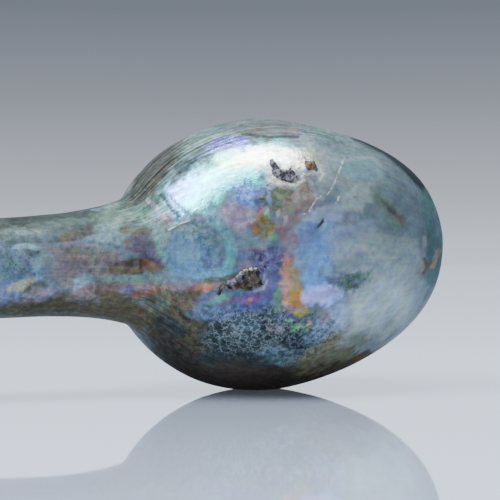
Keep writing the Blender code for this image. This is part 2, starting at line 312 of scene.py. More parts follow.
# Patches: middle and half sizes in the picture's plane, millimetres right of and above the place where the
# bulb rests, the turn of the long side in degrees, tint, strength
patches = dict(
    milkyEnd=(24, 28, 21, 24, 70, "milk", 1), milkyFoot=(24, 14, 10, 6, 40, "milkLow", 0.9),
    milkyShoulder=(18, 44, 9, 6, -20, "milkTop", 0.8), middle=(0, 30, 17, 17, 0, "blueGrey", 0.9),
    crownFrost=(9, 44, 6, 6, 0, "frost", 0.85), footTeal=(-2, 10.5, 19, 6, 0, "teal", 0.9),
    shoulderWash=(-24, 32.4, 8, 3.6, 12, "aquaGrey", 0.9), neckWash=(-42, 25, 20, 12, 0, "blueGrey", 0.9),
    neckTop=(-38, 34, 19, 2.8, 2, "neckGreen", 1), neckTopRight=(-27, 35.5, 6, 2.6, 14, "seaGrey", 0.9),
    neckBlue=(-46, 25.5, 8, 5, 0, "blueGrey", 0.8), neckSky=(-47.4, 28.4, 3.2, 1.4, -20, "slate", 0.5),
    neckTeal=(-49.5, 23.4, 3.4, 2.2, -15, "slate", 0.7), neckTealTop=(-46.4, 30.6, 5, 1.2, 4, "tealGrey", 0.7),
    neckDark=(-44.6, 27.2, 2.4, 0.9, -25, "teal", 0.6),
    neckLeftViolet=(-51.4, 19.4, 3.2, 2.4, 0, "lavenderDeep", 0.5),
    neckSmudge=(-50, 25.6, 2.6, 1.3, -25, "slate", 0.6),
    neckGreenGrey=(-45.5, 31.2, 9.5, 2.2, 3, "neckGrey", 0.8),
    neckPale=(-43.2, 24.4, 2.7, 3, 0, "aquaPale", 0.65),
    neckViolet=(-34, 23.6, 8.5, 4.6, -4, "violetGrey", 0.95),
    neckDeepViolet=(-37.6, 25, 2.2, 1.4, 0, "mauveDark", 0.5),
    neckSpot=(-37, 30.7, 3.2, 1.2, 15, "brownGrey", 0.8),
    neckSpotBrown=(-38.2, 30.6, 1.4, 0.8, 30, "umber", 0.7),
    neckSpotRight=(-34.8, 31.9, 2.4, 1.2, 10, "brownGrey", 0.7),
    neckPaleGreen=(-37.4, 33.6, 5, 0.8, 3, "greyGreen", 0.35),
    neckMauve=(-40.8, 28, 2.8, 0.9, -5, "mauve", 0.6), neckOlive=(-35, 27.9, 4.6, 0.8, 0, "olive", 0.7),
    neckAqua=(-29.6, 31, 3.2, 2.3, 0, "aquaGrey", 0.9), neckRedBrown=(-29.6, 26.9, 2.3, 0.8, 0, "umber", 0.6),
    neckGrey=(-31.4, 25.2, 4.4, 1.7, 0, "violetGrey", 0.7),
    shoulderPurple=(-23.2, 29, 3.2, 2.1, -8, "purpleDark", 0.95),
    shoulderRust=(-26.1, 29.2, 0.9, 0.8, 0, "umber", 0.7), brownStreak=(-24, 24.7, 6.2, 1.4, 4, "umber", 1),
    brownStreakDark=(-25.4, 25.4, 3.4, 0.7, 6, "soot", 0.45),
    brownStreakRust=(-22.3, 25.3, 1.5, 1.2, 0, "rust", 0.8),
    darkStreak=(-20.8, 26.6, 3.4, 1.3, -35, "purpleDark", 0.95),
    darkStreakCore=(-22.8, 26, 1.6, 1.2, 0, "soot", 0.5),
    aquaRow=(-25.6, 22.1, 7.6, 0.95, 3, "aquaGreen", 0.95),
    aquaTail=(-35.2, 21.6, 1.9, 1.4, 20, "aquaPale", 0.8), pinkBand=(-25, 20.3, 11, 1.1, 4, "rose", 0.9),
    pinkBandRight=(-13, 20.7, 6, 1, 3, "rose", 0.9), salmonBand=(-10.6, 20.4, 2.6, 0.9, 4, "peach", 0.75),
    rustBand=(-30.3, 19.8, 2.2, 1.2, 10, "umber", 0.8), rustBandRight=(-22.4, 19.3, 3.8, 1, 8, "rust", 0.7),
    violetBand=(-26.6, 19.8, 2.4, 1, 20, "violetSoft", 0.9), pinkDot=(-34.2, 19.9, 1.8, 1.1, 15, "rose", 0.9),
    goldUnder=(-29, 18.3, 2.6, 1.3, 10, "oliveYellow", 0.75),
    brownUnder=(-38.9, 17.9, 3.2, 1.6, 5, "umber", 0.75), strawSpot=(-47.6, 20.9, 2.8, 1.1, 20, "straw", 0.9),
    strawBrown=(-44.8, 20.2, 2.6, 0.9, 18, "umber", 0.85), lilacUnder=(-44, 18.7, 4.2, 1.5, 15, "mauve", 0.7),
    neckFoot=(-42, 15.6, 15, 2.5, -1, "oliveDark", 0.85), neckFootRight=(-24.5, 14.9, 9.8, 3, -14, "moss", 1),
    underShoulder=(-17, 12.8, 7, 5, -50, "moss", 1), underOlive=(-17.4, 17.6, 4.6, 2.2, 8, "moss", 0.9),
    underClump=(-13, 18.9, 2.5, 1.5, 60, "umber", 0.85),
    underGreen=(-19.4, 16.8, 2.4, 1.2, 20, "greyGreen", 0.6),
    underSea=(-17.6, 12.6, 3.6, 2, -20, "tealDark", 0.8), greenSwirl=(-23.6, 38.4, 5, 2.6, 35, "swirl", 0.95),
    outlineBack=(-21, 42.8, 9.5, 2.8, 52, "backGrey", 1), backBand=(-12.8, 44.2, 6.4, 2.1, 28, "tealGrey", 0.9),
    backBandCore=(-14.2, 44.9, 3, 0.9, 25, "tealDark", 0.85),
    # The shine patches paint the softbox's highlight into the film's colour: pale, strongly metallic pearl
    # tints where its reflection lies, over the film's own iridescent colours
    outlineTop=(-9, 50, 7, 1.4, 20, "greyGreen", 0.85), shine=(-5, 43.4, 11.2, 3.3, 24, "pearl", 1),
    shineRight=(5.6, 46, 6.2, 2.5, 6, "pearlWarm", 0.95), shineLeft=(-14.2, 38.8, 6.4, 3, 38, "pearlBlue", 1),
    shineTail=(-19.4, 35.2, 4.6, 2.4, 40, "aquaGreen", 0.8),
    shineFoot=(-10.6, 37.8, 4.2, 1.9, 20, "pearl", 0.9), shineCrown=(-0.6, 46.6, 4.8, 2.1, 14, "pearlWarm", 1),
    shineViolet=(-6.2, 49.2, 4.2, 1.5, 8, "pearlViolet", 0.8),
    shineGreen=(-6, 46.9, 2.8, 1.2, 15, "pearlGreen", 0.8),
    shineYellow=(-5.6, 45, 2.4, 0.9, 15, "pearlYellow", 0.5),
    shineCyan=(-8.6, 42.8, 2.4, 1, 10, "pearlCyan", 0.8),
    shineLilac=(-15.4, 40.2, 2.6, 1.4, 35, "pearlViolet", 0.5),
    shineAqua=(-5.2, 41.2, 3, 1.1, 8, "pearlCyan", 0.7),
    blueViolet=(-1, 38.8, 4.3, 2.7, -20, "blueViolet", 0.95),
    blueVioletEdge=(1.2, 39.3, 1.3, 1.4, 0, "indigo", 0.5), lilac=(-3.8, 34.2, 4.4, 2.7, -20, "lilac", 0.95),
    aquaUnderShine=(-8.6, 34.9, 2.6, 1.5, -50, "aqua", 0.8),
    tealMiddle=(-1.6, 30.1, 3.4, 2.1, -15, "slate", 0.9),
    mauvePatch=(-18.4, 33.9, 2.1, 1.3, -40, "mauve", 0.95),
    leftOfPool=(-20, 31.4, 2.4, 2.2, 0, "aquaGrey", 0.7), shoulderOlive=(-24.3, 31.6, 3.6, 1, -8, "moss", 0.75),
    pool=(-13.6, 26.8, 4.9, 5.2, 0, "pool", 1), poolPale=(-14.2, 27.6, 2.8, 2.4, 30, "aquaPale", 0.35),
    poolTop=(-13.8, 32.4, 3.8, 1.7, 0, "tealGrey", 0.9), poolShade=(-8.6, 28.2, 3.6, 1.9, 105, "tealGrey", 0.7),
    poolSpot=(-9.8, 25.6, 2.2, 2, 0, "slateBlue", 0.6), poolFoot=(-8.2, 22.9, 4.2, 1.2, 10, "aqua", 0.8),
    poolLilac=(-14, 21.7, 2.8, 0.9, 0, "mauve", 0.5), oliveGreen=(3.8, 38.4, 3.6, 2.4, 5, "olive", 1),
    oliveRose=(8.2, 38.6, 3.2, 2.8, 0, "roseBrown", 0.85), oliveShade=(5.2, 39.4, 2.6, 1.2, 10, "olive", 0.6),
    oliveDark=(0.9, 37.5, 1.6, 1.1, 0, "tealDark", 0.85), rustTall=(0.5, 34.7, 2.2, 1, 88, "rust", 0.8),
    oliveYellow=(1.6, 32.4, 2.8, 1.9, 0, "oliveYellow", 0.95), rustLow=(-0.6, 32.2, 0.9, 1, 0, "rust", 0.7),
    greenTop=(1.9, 35.3, 1.2, 0.9, 90, "green", 0.9), greenLow=(3.1, 30.7, 1.4, 0.9, 0, "green", 0.85),
    magentaPatch=(4.7, 31.3, 1.6, 1.1, -30, "magenta", 0.9),
    rosePatch=(6.5, 33.6, 5, 1.8, 88, "roseBrown", 0.8), roseGreen=(7, 36, 1, 0.7, 60, "leaf", 0.4),
    lilacTick=(5.8, 33.8, 1.4, 0.45, 78, "lilac", 0.5), whiteTick=(2, 35.6, 0.7, 0.35, 90, "cream", 0.4),
    whiteTickRight=(4.3, 35.3, 0.8, 0.35, 80, "cream", 0.35), lilacLine=(0, 28.2, 2.4, 0.7, 5, "mauve", 0.8),
    indigo=(2.4, 26, 3.8, 2.9, 0, "indigo", 1), indigoLeft=(-2.2, 26.9, 1.6, 1.1, 0, "slateBlue", 0.8),
    mauveLeft=(-2.2, 24.8, 1.7, 0.8, 20, "mauve", 0.7), violetColumn=(3, 20.5, 3.6, 1.8, 80, "indigo", 0.85),
    violetFoot=(-2.2, 17.6, 5.2, 1.8, 5, "violet", 0.85),
    violetMagenta=(-1.4, 18.2, 2.4, 1, 12, "magenta", 0.7),
    violetMagentaLeft=(-4.4, 18, 1.2, 0.6, 20, "magenta", 0.6),
    violetPink=(-1.4, 17.9, 0.7, 0.3, 0, "peach", 0.6), violetBlue=(-1, 19.4, 1.7, 0.7, 0, "indigo", 0.7),
    peach=(6.9, 22.2, 5.4, 2.2, 84, "peach", 0.95), gold=(8.6, 21.4, 5.8, 2.1, 95, "gold", 0.95),
    goldPale=(8.4, 24.4, 2.2, 0.7, 95, "straw", 0.5), goldEdge=(9.2, 22.4, 3.8, 0.6, 97, "seaGrey", 0.5),
    orange=(8, 18.2, 2.1, 2.1, 90, "orange", 0.9), orangeRed=(8.3, 17, 1.4, 0.8, 0, "rust", 0.5),
    pinkFoot=(7.2, 15.9, 3, 0.6, 0, "rose", 0.8), limeFoot=(9.1, 15.3, 1.8, 0.6, 5, "lime", 0.9),
    greenLeft=(4.3, 19.1, 1.4, 0.9, 80, "green", 0.7), tealLeft=(4.2, 16.6, 2, 1, 90, "seaGrey", 0.8),
    sky=(11.8, 28.8, 5.6, 4.8, 80, "sky", 1), skyRight=(13.9, 27.8, 3, 2.2, 90, "skyDeep", 0.8),
    skyEdge=(6.9, 29, 2.8, 1.3, 88, "mauve", 0.9), skyViolet=(10.2, 30.5, 2.4, 1.4, 0, "lavenderDeep", 0.6),
    skyTop=(13.2, 35, 4.5, 1.8, 15, "greyBlue", 0.75), skyFoot=(12.3, 22.4, 3.2, 2.9, 0, "skyPale", 0.95),
    lavender=(13.2, 19, 4.2, 2.1, 8, "lavender", 0.85), lavenderPink=(13.4, 18.9, 3.2, 1.4, 20, "lilac", 0.6),
    whiteSpot=(14, 23.6, 1.3, 1, 30, "aquaPale", 0.6), violetTall=(12.8, 23.4, 1.6, 0.5, 80, "violetSoft", 0.7),
    violetSmudge=(19.4, 30.8, 5.4, 3.6, 10, "greyBlue", 0.6),
    violetSmudgeLow=(17.5, 27.4, 3.4, 2.2, 0, "violetSoft", 0.35),
    violetCore=(17.4, 30.8, 1.8, 1.5, 0, "slateBlue", 0.35),
    orangeSpot=(18.6, 33.8, 1.4, 1.1, 0, "umber", 0.35), greenGlow=(26, 29, 5.2, 2.6, -20, "milkGreen", 0.7),
    milkyMiddle=(21.5, 26, 7.5, 4, -10, "milkLow", 0.55), milkyLow=(22, 19, 6, 2.6, 30, "milkLow", 0.55),
    milkyRight=(30, 24, 6.6, 3, 80, "milkLow", 0.5), milkyUpper=(20.5, 38.6, 4, 2.2, 30, "milkLow", 0.5),
    lens=(26.4, 35.8, 5.2, 1.9, -48, "greyGreen", 1), lensCore=(27.2, 35.6, 3, 1, -45, "umber", 0.65),
    lensDark=(26.8, 36.2, 2.4, 0.5, -45, "tealDark", 0.75),
    lensFoot=(29.6, 33.4, 1.8, 0.9, -65, "brownGrey", 0.5), greenOval=(21, 44.3, 4.2, 2, -8, "aqua", 0.4),
    greyTop=(15.8, 48.7, 4.2, 2.2, -20, "tealGrey", 0.45),
    darkSmudge=(19.2, 21.7, 3.3, 1.5, 22, "seaGrey", 0.85),
    darkSmudgeTop=(20.5, 22.8, 1.3, 0.8, 30, "brownGrey", 0.5),
    darkSmudgeLow=(18.8, 21, 1.3, 0.7, 0, "brownGrey", 0.3),
    smudgeLeft=(15.2, 21.9, 1.7, 0.8, 0, "mauveDark", 0.8), lilacFoot=(14, 14.8, 1.8, 1.6, 0, "mauve", 0.7),
    blueFoot=(16.8, 15.2, 2, 2, 0, "greyBlue", 0.8), seaSpot=(-7.7, 18.2, 2.4, 1, 15, "seaGreen", 0.8),
    redDot=(-6.2, 17.9, 0.8, 0.5, 0, "red", 0.7), redDotLow=(-6.9, 16.8, 0.8, 0.5, 0, "red", 0.6),
    blueTip=(-10.2, 18.5, 1.7, 0.8, 20, "indigo", 0.6), footViolet=(-7.6, 15.4, 5.2, 1.7, 5, "slateBlue", 0.8),
    footLight=(-2.4, 12.4, 3, 1.8, 0, "slate", 0.45), footSlate=(5, 6.6, 4.4, 2, -8, "slate", 0.8),
    footMauve=(3.9, 12.1, 1.6, 1, 0, "mauve", 0.7), footGreen=(8.3, 12, 1.8, 1.2, 0, "leaf", 0.75),
    footGreenTick=(6.3, 13.6, 0.9, 0.45, 0, "leaf", 0.8), footPink=(10.5, 13.2, 0.9, 0.4, 80, "peach", 0.5),
    footBlack=(9, 10.1, 3.8, 1.8, 20, "blueBlack", 0.95), footStrip=(5.6, 14.4, 2, 0.55, 0, "indigo", 0.75),
    footStripRight=(12, 11.9, 1.9, 0.5, 10, "blueBlack", 0.85),
    footGrey=(13.9, 12, 4.2, 2, 22, "greyBlue", 0.5), cap=(2.5, 52.6, 8.5, 1.7, 0, "capGrey", 0.8),
    capBrown=(-0.2, 52, 2, 0.5, 0, "umber", 0.6), capBrownRight=(7.6, 52.1, 1.4, 0.5, 0, "umber", 0.6),
    crustFringe=(5.4, 42.9, 4.4, 2.3, -25, "frost", 0.85),
    crustFringePale=(3.4, 42, 1.6, 0.7, -20, "cream", 0.7),
    # crustFringeTop is part of the painted highlight, in a warm pearl tint
    crustFringeTop=(5.6, 45.3, 1.2, 0.9, -30, "pearlWarm", 0.8),
    bottomLeft=(-15.5, 6.6, 7, 3.2, -42, "bottle", 0.95), bottom=(-4, 2.2, 15, 2.9, 0, "peat", 0.95),
    # The olive patch at the lower right and its pale neighbour are the glass's own olive, painted lighter for
    # the light that shines through the thin glass there
    bottomRight=(9, 2.2, 11, 1.9, 10, "bottle", 0.9), litThroughOlive=(14.4, 7, 7.6, 3, 24, "glassGreen", 1),
    litThroughPale=(18.6, 9.6, 3.2, 1.2, 30, "milkGreen", 0.5),
)

# Marks that are both coloured and cut or raised: the points that they run through in the same plane
marks = dict(
    toolingFirst=[(-19.2, 39), (-17.4, 36.2), (-15.9, 34.7)],
    toolingSecond=[(-17.8, 39.2), (-15.7, 36.8), (-13.6, 34.9)],
    shoulderLine=[(-18, 32), (-15.2, 33.4), (-12.6, 34.1)],
    capLine=[(-3, 51.3), (2.6, 50.6), (8.4, 50.8)],
    poolRing=[(-9.4, 34), (-6.2, 31.2), (-4.6, 27.9), (-5.4, 24.8), (-7.6, 22.7)],
    darkSlit=[(-15.6, 15.2), (-13.6, 13.7)],
)

# Strokes: such points, half width, tint, strength
strokes = dict(
    poolRing=(marks["poolRing"], 0.75, "aqua", 0.95),
    poolRingPale=([(-5.9, 29.4), (-5.6, 26.6), (-6.6, 24.2)], 0.4, "pearlCyan", 0.5),
    poolEdge=([(-20.2, 30.2), (-18.4, 25.6), (-16.3, 22.4)], 0.55, "seaGreen", 0.6),
    poolDark=([(-10.4, 21.8), (-6.6, 22.1), (-3.4, 23.2)], 0.5, "moss", 0.8),
    toolingPale=([(-22, 38), (-19.7, 36), (-18.6, 34.4)], 0.4, "lilac", 0.5),
    toolingFirst=(marks["toolingFirst"], 0.3, "teal", 0.85),
    toolingSecond=(marks["toolingSecond"], 0.26, "teal", 0.75),
    streakTick=([(-23.6, 25.8), (-23.2, 23.2)], 0.25, "soot", 0.8),
    streakTickLeft=([(-25.2, 25.6), (-24.9, 23.9)], 0.2, "soot", 0.6),
    streakGold=([(-30.8, 23.4), (-27, 24), (-21.2, 23.6)], 0.35, "oliveYellow", 0.35),
    neckSwirl=([(-51.6, 27.4), (-49.6, 25.4), (-48, 23.8)], 0.55, "tealGrey", 0.7),
    neckSwirlPale=([(-48.6, 28.6), (-46.4, 28.9), (-44.4, 28.2)], 0.5, "aquaPale", 0.6),
    neckSwirlLow=([(-46.4, 25.6), (-44.8, 23.6)], 0.45, "slateBlue", 0.7),
    neckStroke=([(-31.6, 29.3), (-29.6, 29), (-27.8, 28.4)], 0.35, "tealDark", 0.5),
    neckTick=([(-32.4, 28.8), (-31.8, 27.7)], 0.3, "mauve", 0.6),
    neckLine=([(-38.8, 29.2), (-35.2, 29.1)], 0.45, "mauve", 0.5),
    darkSlit=(marks["darkSlit"], 0.42, "soot", 1), capLine=(marks["capLine"], 0.32, "soot", 0.8),
    # Painted shade: dark strokes along the upper and right outline where the bulb turns away, and a painted
    # glint just inside the right one
    upperEdgeShadeStart=([(14.6, 53), (19.4, 51.9)], 0.8, "shadowLine", 0.6),
    upperEdgeShade=([(19.6, 51.7), (26.2, 48.5), (31.2, 44.4), (35, 39.6)], 1.6, "shadowLine", 0.95),
    rightEdgeShade=([(35.4, 38.6), (36.6, 33), (36.9, 28), (36.2, 22.9)], 2.5, "shadedEdgeTeal", 0.85),
    rightGlint=([(35.6, 35.6), (36.3, 33.2), (36.4, 31)], 0.35, "milk", 0.6),
    tanEdge=([(36.6, 27.8), (35.9, 26.2), (35.2, 24.6)], 0.5, "tan", 0.5),
    tanLeft=([(32.9, 25.8), (33.1, 23.8)], 0.45, "tan", 0.35),
    paleLine=([(33.7, 30.4), (33.6, 26.8)], 0.4, "frost", 0.95),
    brownStroke=([(33.7, 26), (34.3, 24.4), (33.5, 23.2)], 0.32, "umber", 0.9),
    brownStrokeRight=([(34.3, 24.4), (35.1, 25.6)], 0.28, "umber", 0.8),
    brownEdge=([(14, 3.1), (19.2, 5.2), (22.4, 7.1)], 0.8, "umber", 0.9),
    brownEdgeRust=([(19.4, 5.6), (21, 6.4)], 0.5, "rust", 0.7),
    fringeLow=([(3, 42.6), (4.4, 41.6), (6.4, 41.1), (8.2, 41.2), (9.4, 42)], 0.24, "cream", 0.8),
    fringeRight=([(8.6, 42.6), (9.6, 43.2), (10.8, 43.3)], 0.2, "cream", 0.8),
    fringeTop=([(7, 45.4), (8.2, 46.2), (9.2, 46.6)], 0.22, "cream", 0.7),
    fringeFar=([(12.6, 44.2), (13.3, 43.2), (12.6, 42.2)], 0.2, "cream", 0.7),
    flakeFringe=([(1.4, 22.8), (1.9, 21.4), (1.2, 20), (-0.6, 19.7)], 0.2, "lilac", 0.7),
    smear=([(10.6, 43.8), (9.9, 41.6), (9.2, 39.4)], 0.7, "umber", 0.5),
    slitFringe=([(14, 33.2), (13.3, 32.1)], 0.35, "aquaPale", 0.6),
    slit=([(13.3, 33.8), (12.7, 33), (12.1, 32.4)], 0.26, "soot", 0.95),
    ovalRim=([(16.5, 43.3), (17.1, 45.7), (19.1, 46.3), (23, 46.6), (25, 44.8)], 0.35, "frost", 0.7),
    striation=([(21.6, 15.6), (24.4, 18.8)], 0.4, "greyBlue", 0.6),
    striationLow=([(25.4, 13.6), (28.6, 17.8)], 0.4, "greyBlue", 0.6),
    striationHigh=([(23.4, 19.6), (27.6, 22.2)], 0.4, "greyBlue", 0.5),
    blackTick=([(19.4, 38.5), (20.4, 38.3)], 0.2, "soot", 0.6),
)

# Hairline cracks with a pale edge, in the same plane
cracks = dict(
    long=[
        (17.5, 46.3), (16.2, 43.2), (15, 40.2), (14.2, 39.2), (12.1, 38.4), (11.2, 37.2), (10.6, 35.7),
        (9.4, 35.2),
    ],
    branch=[(16.8, 39.2), (15.8, 37)], cluster=[(14.4, 36.1), (16, 35.9)],
    shoulderLine=marks["shoulderLine"],
)

# Where the film is broken up into dark and pale grains: as the patches, with how strongly in place of a tint
mottled = dict(
    milkyEnd=(25, 28, 22, 17, 70, 0.04), foot=(-3, 11.5, 17, 5.4, 0, 0.8), footRight=(9, 9.5, 8, 4, 22, 0.75),
    indigo=(2.4, 26, 3.6, 2.8, 0, 0.75), underShoulder=(-17, 14.6, 8, 6, -40, 0.5),
    neckFoot=(-32, 16.5, 18, 3.4, -4, 0.4), violetShine=(-1, 39, 3.6, 2.4, 0, 0.6),
    neckRight=(-24, 27, 7, 6, 0, 0.35), crustFringe=(6.4, 42.4, 6, 4.6, 0, 0.6),
    poolTop=(-12, 31.4, 4.4, 2.2, 0, 0.5), poolSpot=(-9.6, 26.4, 2.6, 3.4, 0, 0.5),
    backBand=(-13, 44.4, 7, 2.2, 28, 0.5), smudge=(18.6, 21.2, 4.6, 2.2, 22, 0.5),
)

# Where fine streaks run along the glass, drawn out as it was blown: as the patches, with how strongly
streaked = dict(
    back=(-20, 43, 11, 4, 50, 1), top=(-8, 49.4, 9, 2.4, 20, 0.9), shine=(-8, 43.5, 12, 4, 26, 0.4),
    shoulder=(-20, 36, 6, 4, 35, 0.6), cap=(4, 51.5, 10, 2, 0, 0.5), underSide=(-20, 14, 8, 5, -40, 0.4),
)

# How the colours are laid: sizes in millimetres, the rest as shares
laying = dict(
    coarseSize=2.6, fineSize=0.9, broadSizes=(16, 9), cloudSize=5,  # of the noise that frays and clouds them
    firstCoats=(  # where the broad noise lies between these, how strongly, and the tint
        (0, 1, -0.2, 0.3, 0.8, "milk"), (1, 1, 0, 0.35, 0.7, "greyGreen"), (1, -1, 0.1, 0.4, 0.5, "violetGrey"),
    ),
    footHeight=(14, 3), footFrom=-35, footShare=0.85,  # the dark underside, which ends where the neck starts
    turnedAway=(-0.3, 0.02),  # over which the side that the photograph shows ends
    fray=0.5, mostFray=1.5, fineFray=0.7,  # of a patch's edge
    small=8, smallEdge=0.55, largeEdge=0.8,  # a smaller patch than this has a crisper edge and is worn through
    kept=0.9, worn=0.55,
    strokeFray=0.35, mostStrokeFray=0.5, strokeEdge=(0.7, 1.3),
    clouds=(0.2, 0.2, 0.16), cloudTint=(0.1, -0.02, -0.1),
    slants=dict(form=(26, 26, 11, 16, 0), length=9, width=1.1, share=0.13),  # faint strokes on the milky end
    mottle=0.3, mottleSpread=0.25, farMottle=0.7, farMottleHeight=(16, 5),
    streak=0.1, farStreak=0.5, farStreakFrom=(8, 20), farStreakTo=(-32, -24),  # along the back of the shoulder
    crackFray=0.25, noCrack=5, insideShare=0.85,
)

# Small relief, in the same plane: a path, half width, and how deep it goes in millimetres, below 0 for a ridge
dents = dict(
    toolingFirst=(marks["toolingFirst"], 0.35, 0.06), toolingSecond=(marks["toolingSecond"], 0.35, 0.06),
    toolingRidge=([(-18.6, 39.4), (-16.6, 36.6), (-14.8, 34.8)], 0.4, -0.05),
    shoulderRidge=(marks["shoulderLine"], 0.4, -0.06), capLine=(marks["capLine"], 0.6, 0.1),
    lens=([(24, 38.6), (29.2, 33)], 1.9, 0.16), darkSlit=(marks["darkSlit"], 0.5, 0.25),
    slit=([(13.4, 34), (12.1, 32.1)], 0.45, 0.25), pit=([(-3.4, 8.6), (-3.2, 8.5)], 0.45, 0.3),
    pitLow=([(-1.8, 6.1), (-1.6, 6)], 0.5, 0.3),
    filmStep=([(7.6, 33.5), (7.4, 27.6), (9.4, 22.6), (9.4, 16)], 0.5, 0.05),
    poolStep=(marks["poolRing"], 0.7, -0.06),
)

# Crusts of burial dirt standing on the film: their outlines in the same plane, how thick they are in
# millimetres, and their blotches, each a place, a half size and a tint
crusts = dict(
    largeFlake=dict(
        outline=[
            (-8.1, 19.2), (-7.7, 20.5), (-6.9, 21.4), (-6, 21.8), (-4.8, 22.2), (-4.2, 23), (-3.6, 23.7),
            (-2.9, 24.1), (-2, 24.3), (-0.9, 24.6), (0.1, 24.4), (0.6, 23.6), (0.5, 22.7),
            (1, 21.6), (1.2, 20.8), (0.6, 20.4), (-0.6, 20.3), (-1.1, 19.7), (-2.3, 19.6),
            (-3.4, 20.2), (-4.2, 19.9), (-6, 20), (-6.8, 19.9), (-7.2, 19.3), (-7.6, 18.5),
        ],
        thickness=0.85, body="crustBrown",
        # The pale blotches along this flake's top rim are a painted highlight; the black ones at its lower
        # edges and in its two notches are painted shade
        blotches=[
            (-0.8, 21.9, 1.2, "crustOlive"), (-5.2, 21.3, 1, "crustLilac"), (-3.6, 22.3, 0.8, "crustLilac"),
            (-6.3, 20.6, 0.8, "crustGrey"), (-1.3, 24.2, 0.45, "crustPaleAndHighlight"), (-0.4, 24.3, 0.4, "crustPaleAndHighlight"),
            (-2.3, 24, 0.45, "crustPaleAndHighlight"), (-3, 23.3, 0.4, "crustPaleAndHighlight"), (-2.2, 23.2, 0.5, "crustGrey"),
            (-2.7, 22.4, 0.5, "crustBlackAndShade"), (0.8, 21.1, 0.5, "crustBlackAndShade"),
            (-1.4, 20, 0.6, "crustBlackAndShade"), (-3.2, 20.6, 0.6, "crustBrown"),
            (-5.4, 20.3, 0.5, "crustBlackAndShade"), (-7.4, 19.4, 0.5, "crustBlackAndShade"),
            (0.1, 23.3, 0.5, "crustBlackAndShade"), (-4.3, 20.9, 0.5, "crustBrown"),
        ],
    ),
    purpleFlake=dict(
        outline=[
            (2.4, 46.1), (3.2, 46.2), (3.9, 45.5), (4.6, 44.5), (5.2, 43.8), (6, 44.1),
            (6.5, 44.4), (7.3, 44.2), (7.6, 43.5), (8.2, 42.5), (7.9, 41.5), (7, 41.3),
            (6, 41.6), (4.8, 42), (3.8, 42.5), (3.1, 43.1), (2.9, 44.2), (2.5, 45.2),
        ],
        thickness=0.5, body="crustPurple",
        blotches=[
            (2.9, 45.7, 0.4, "crustRose"), (4, 43.4, 0.7, "crustLilac"), (6.9, 43.6, 0.6, "crustBlackAndShade"),
            (7.2, 42.2, 0.6, "crustGrey"), (5.1, 42.9, 0.5, "crustBlackAndShade"), (3.3, 44.4, 0.4, "crustBlackAndShade"),
            (6.1, 42.2, 0.4, "crustLilac"), (2.6, 46, 0.25, "crustBlackAndShade"),
            (4.4, 42.2, 0.35, "crustPaleAndHighlight"), (7.8, 41.8, 0.35, "crustPaleAndHighlight"),
        ],
    ),
    orangeFlake=dict(
        outline=[
            (9.3, 45.8), (10.4, 46), (11.1, 45.8), (11.4, 46.1), (11.8, 45.4),
            (12.3, 44.4), (12.1, 43.7), (11.2, 44.1), (10.3, 43.9), (9.7, 44.5),
        ],
        thickness=0.35, body="crustOrange",
        # The black blotches along this flake's right edge are painted shade
        blotches=[
            (11.9, 44.6, 0.6, "crustBlackAndShade"), (11.4, 45.8, 0.4, "crustBlackAndShade"),
            (10.4, 44.3, 0.5, "crustBrown"), (9.6, 45.6, 0.4, "crustBrown"),
        ],
    ),
)
crust = dict(
    spacing=0.14, buried=0.35, edgeWidth=0.55, margin=0.6, thinnest=0.06,  # millimetres
    lumpBase=0.55, lumpSize=1, lumpShare=0.7, crumbSize=0.33, crumbShare=0.55, edgeRise=0.25,
    raggedness=0.24, raggedRate=2.6, blotchWander=0.7, blotchRate=1.7, blotchEdge=(0.6, 1.3),
    grainSize=0.35, grainDetail=5, grainRoughness=0.7, grainLimits=(0.33, 0.68), grainShade=(0.35, 1.9),
    grainRelief=0.12, grainStrength=0.8, roughness=0.72, specular=0.4,
    # The pale tint is also a painted highlight on a flake's top rim, and the black one also painted shade at
    # edges and notches
    colours=dict(
        crustBrown="#3d342a", crustOlive="#544b3f", crustGrey="#5a5350", crustLilac="#6c6672",
        crustPaleAndHighlight="#8c8a80", crustBlackAndShade="#161517", crustPurple="#322d38", crustRose="#75606a",
        crustOrange="#5e4526",
    ),
)

# The sides that the photograph doesn't show: how many patches, their half sizes in millimetres, and their tints
unseen = dict(
    seed=41, count=260, smallest=0.9, largest=7.5, sizeBias=2.2, neckEnds=-30, footTop=7,
    stretch=(0.6, 1.1), ragged=(0.5, 0.3), edge=(0.75, 1.25), strength=(0.45, 0.95),
    bulb=(
        "milk", "milkTop", "milkLow", "tealGrey", "greyGreen", "slate", "greyBlue", "lilac", "pool", "aqua",
        "aquaPale", "olive", "brownGrey", "gold", "violetSoft", "sky", "seaGreen", "mauve", "tealDark", "peach",
        "lavender", "frost", "umber", "pearlBlue",
    ),
    neck=(
        "greyGreen", "violetGrey", "olive", "blueGrey", "mauve", "umber", "aquaGrey", "oliveDark", "rose",
        "tealGrey",
    ),
    foot=("bottle", "peat", "moss", "oliveDark", "tealDark"),
)
unevenness = dict(
    size=6, height=0.05, fadeHeight=(0.05, 1),  # of the blown surface, none where it rests
    markedSide=(0, 0.2),  # over which the marks start, from the edge of what the photograph shows
)


def wander(points, size, seed):  # smooth noise at each point, about -1 to 1, with features of this size
    shift = Vector((seed * 13.7, seed * 7.3, seed * 3.1))
    return numpy.array([noise.noise(Vector(point) / size + shift) for point in points])


def pictureAxes():  # ahead, to the right and upwards, as the photograph was taken
    look = Vector(studio["look"]).normalized()
    right = look.cross(Vector((0, 0, 1))).normalized()
    return look, right, right.cross(look)


def picturePlace(points):  # where points show in the picture's plane through the origin, in millimetres
    eye = numpy.array(studio["eye"]) / mm
    look, right, up = (numpy.array(axis) for axis in pictureAxes())
    scale = (-eye @ look) / ((points - eye) @ look)
    return ((points - eye) @ right) * scale + eye @ right, ((points - eye) @ up) * scale + eye @ up


